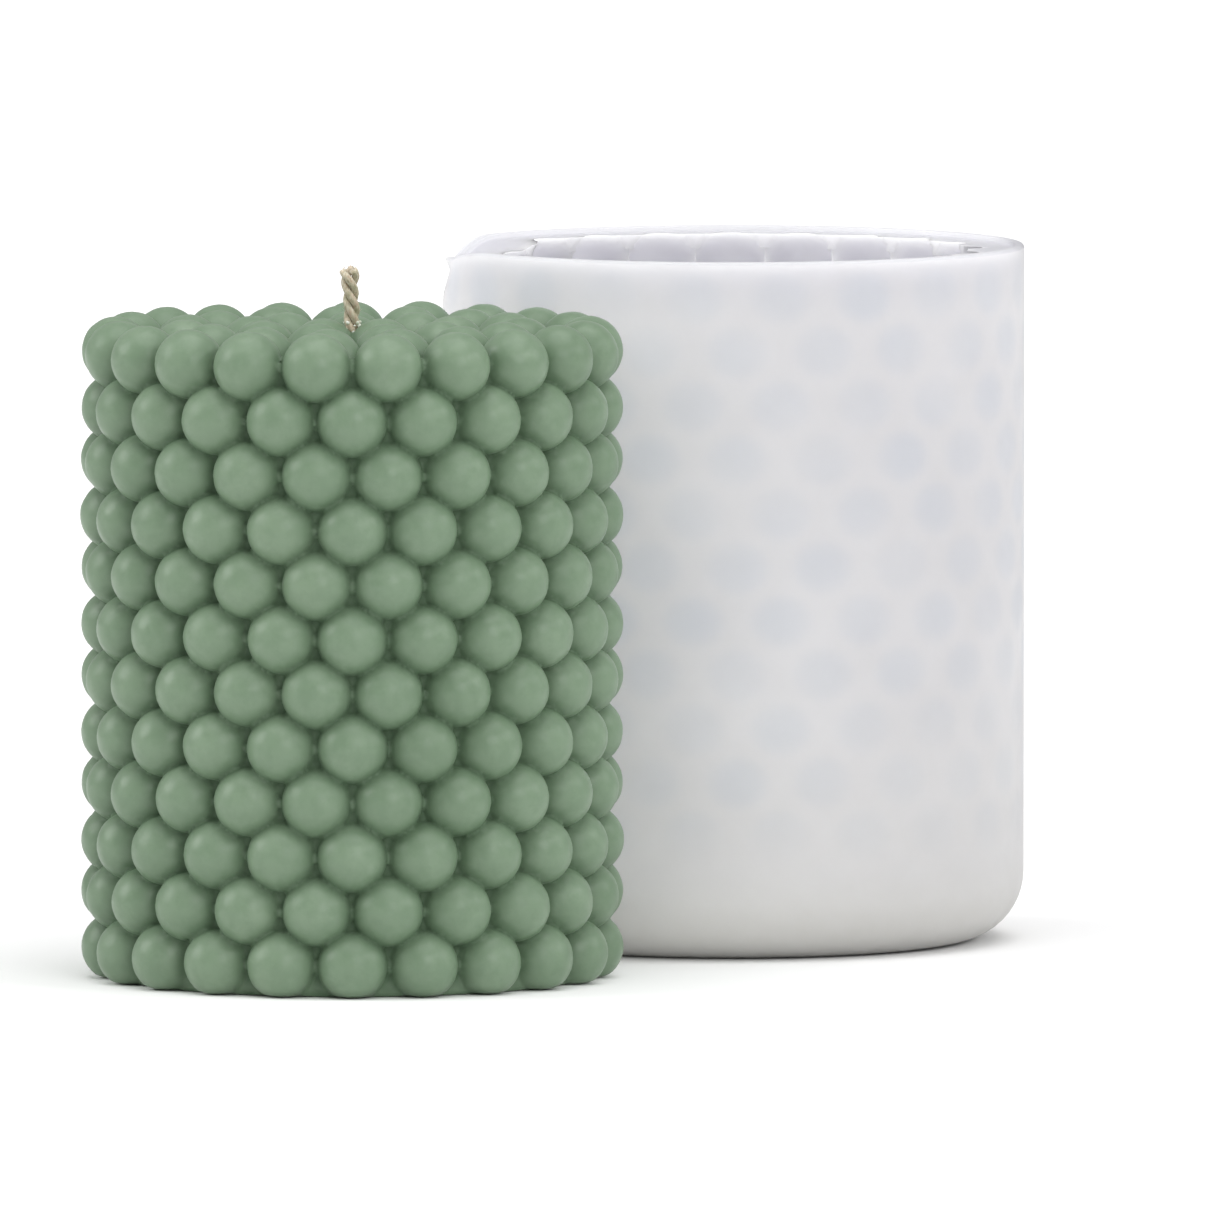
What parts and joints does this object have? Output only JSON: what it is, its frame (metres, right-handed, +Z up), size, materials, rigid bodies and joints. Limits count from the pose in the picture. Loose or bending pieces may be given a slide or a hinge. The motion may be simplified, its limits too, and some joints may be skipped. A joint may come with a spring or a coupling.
{
  "type": "candle mold",
  "caption": "Two-flap silicone mold, slit down one side and across its floor, for a pillar candle covered in round bubbles, with the cast candle and its wick.",
  "frame": {"origin": "middle of the mold's underside", "axes": "+Z up along the mold's axis; the slit is on the -X side and the living hinge on the +X side, so the two flaps meet on y = 0; the candle stands in front, towards -X and -Y"},
  "size_m": [0.1227, 0.1269, 0.0915],
  "materials": {
    "silicone": "milky translucent silicone, satin outside",
    "wax": "sage green wax, soft satin",
    "wick_cord": "waxed cotton cord"
  },
  "bodies": {
    "mold_front": {"mold_front_half": "silicone"},
    "mold_back": {"mold_back_half": "silicone"},
    "candle": {"candle_body": "wax", "wick_ply_1": "wick_cord", "wick_ply_2": "wick_cord", "wick_ply_3": "wick_cord"}
  },
  "joints": [
    {"name": "mold_opening", "type": "hinge", "parent": "mold_front", "child": "mold_back", "pos_m": [0.038, 0, 0], "axis": [0, 0, -1], "range_deg": [0, 75]},
    {"name": "candle_lift", "type": "slide", "parent": "mold_front", "child": "candle", "axis": [0, 0, 1], "range_m": [0, 0.13]}
  ]
}
